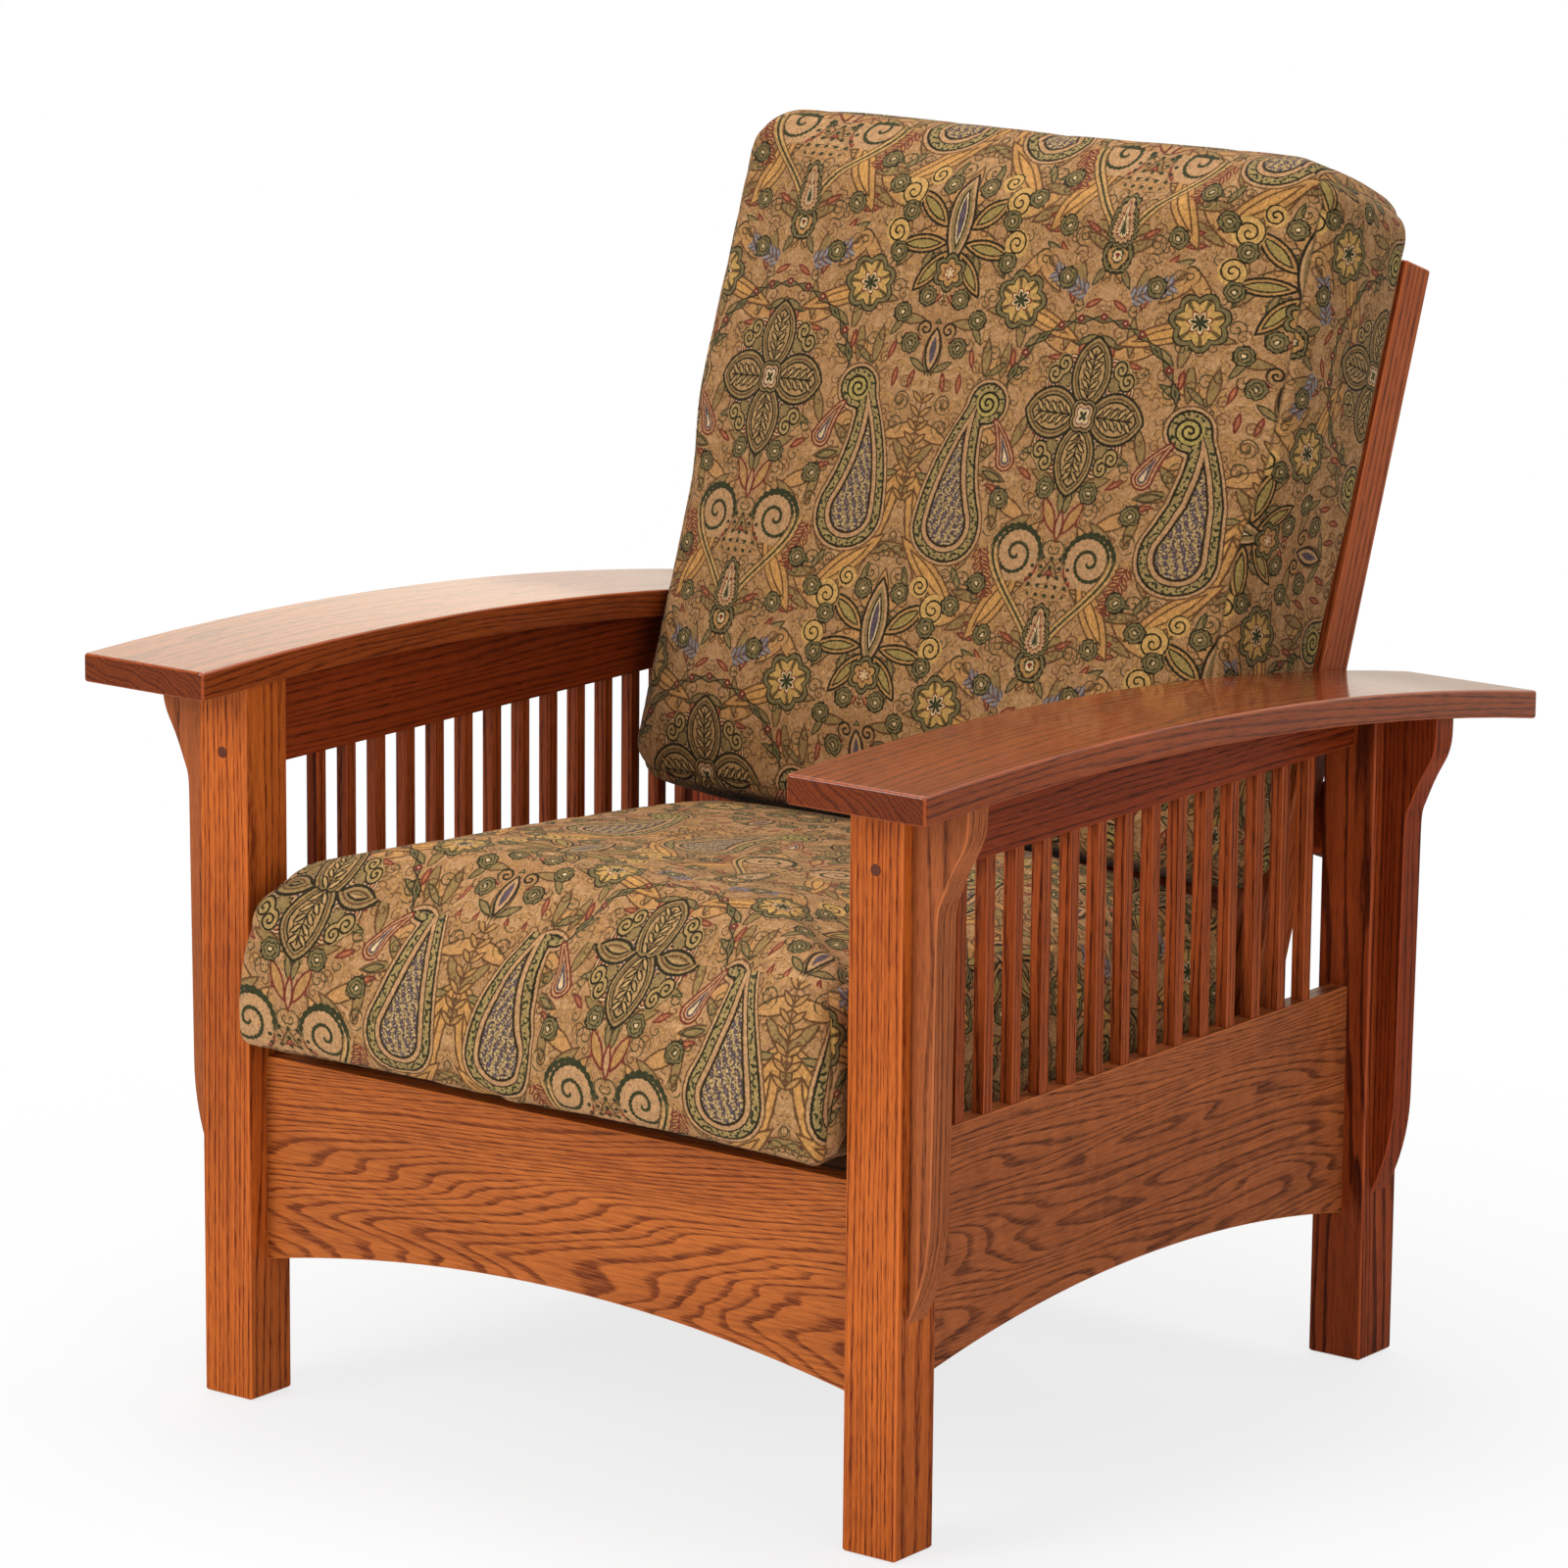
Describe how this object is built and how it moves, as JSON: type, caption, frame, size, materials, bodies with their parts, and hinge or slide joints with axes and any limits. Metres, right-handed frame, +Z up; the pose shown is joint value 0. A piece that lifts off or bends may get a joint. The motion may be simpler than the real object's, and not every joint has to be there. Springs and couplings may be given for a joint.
{
  "type": "reclining armchair",
  "caption": "Mission style armchair with bowed flat arms, spindle sides, arched aprons, a back frame that tilts and leans on a support rod, and loose tapestry seat and back cushions.",
  "frame": {"origin": "on the floor, in the middle of the chair's whole width and depth", "axes": "+Z up, +X to the right of someone who looks at the front of the chair, and the front faces -Y"},
  "size_m": [0.8572, 0.9242, 1.0261],
  "materials": {
    "stained_oak": "satin orange-brown stained oak",
    "plain_oak": "plain oak",
    "dark_plug": "satin end grain",
    "screw_steel": "zinc plated",
    "bolt_steel": "dark bronzed steel",
    "glide_nylon": "matte",
    "tapestry": "woven paisley tapestry"
  },
  "bodies": {
    "chair_frame": {"arm_left": "stained_oak", "arm_right": "stained_oak", "floor_glides": "glide_nylon", "front_apron": "stained_oak", "front_corbel_left": "stained_oak", "front_corbel_right": "stained_oak", "front_post_left": "stained_oak", "front_post_right": "stained_oak", "pivot_bolts": "bolt_steel", "pivot_spacers": "bolt_steel", "pivot_washers": "bolt_steel", "post_plugs": "dark_plug", "rack_screws": "screw_steel", "rear_apron": "stained_oak", "rear_corbel_left": "stained_oak", "rear_corbel_right": "stained_oak", "rear_post_left": "stained_oak", "rear_post_right": "stained_oak", "rod_rack_left": "stained_oak", "rod_rack_right": "stained_oak", "seat_rail_left": "plain_oak", "seat_rail_right": "plain_oak", "seat_rail_screws": "screw_steel", "seat_slat_screws": "screw_steel", "seat_slats": "plain_oak", "side_panel_left": "stained_oak", "side_panel_right": "stained_oak", "spindles_left": "stained_oak", "spindles_right": "stained_oak", "top_side_rail_left": "stained_oak", "top_side_rail_right": "stained_oak"},
    "back": {"back_stile_right": "stained_oak", "back_stile_left": "stained_oak", "back_crest_rail": "stained_oak", "back_bottom_rail": "stained_oak", "back_ladder_slats": "stained_oak"},
    "support_rod": {"support_rod": "stained_oak"},
    "seat_cushion": {"seat_cushion": "tapestry"},
    "back_cushion": {"back_cushion": "tapestry"}
  },
  "joints": [
    {"name": "back_recline", "type": "hinge", "parent": "chair_frame", "child": "back", "pos_m": [0, 0.19502, 0.22404], "axis": [-1, 0, 0], "range_deg": [0, 14]},
    {"name": "rod_shift", "type": "slide", "parent": "chair_frame", "child": "support_rod", "axis": [0, 0.9397, -0.342], "range_m": [0, 0.06815]},
    {"name": "seat_cushion_out", "type": "slide", "parent": "chair_frame", "child": "seat_cushion", "axis": [0, -0.9962, 0.0872], "range_m": [0, 0.62]},
    {"name": "back_cushion_up", "type": "slide", "parent": "back", "child": "back_cushion", "axis": [0, 0.3322, 0.9432], "range_m": [0, 0.6]}
  ],
  "couplings": [
    {"joint": "rod_shift", "follows": "back_recline", "m_per_rad": 0.27875}
  ]
}
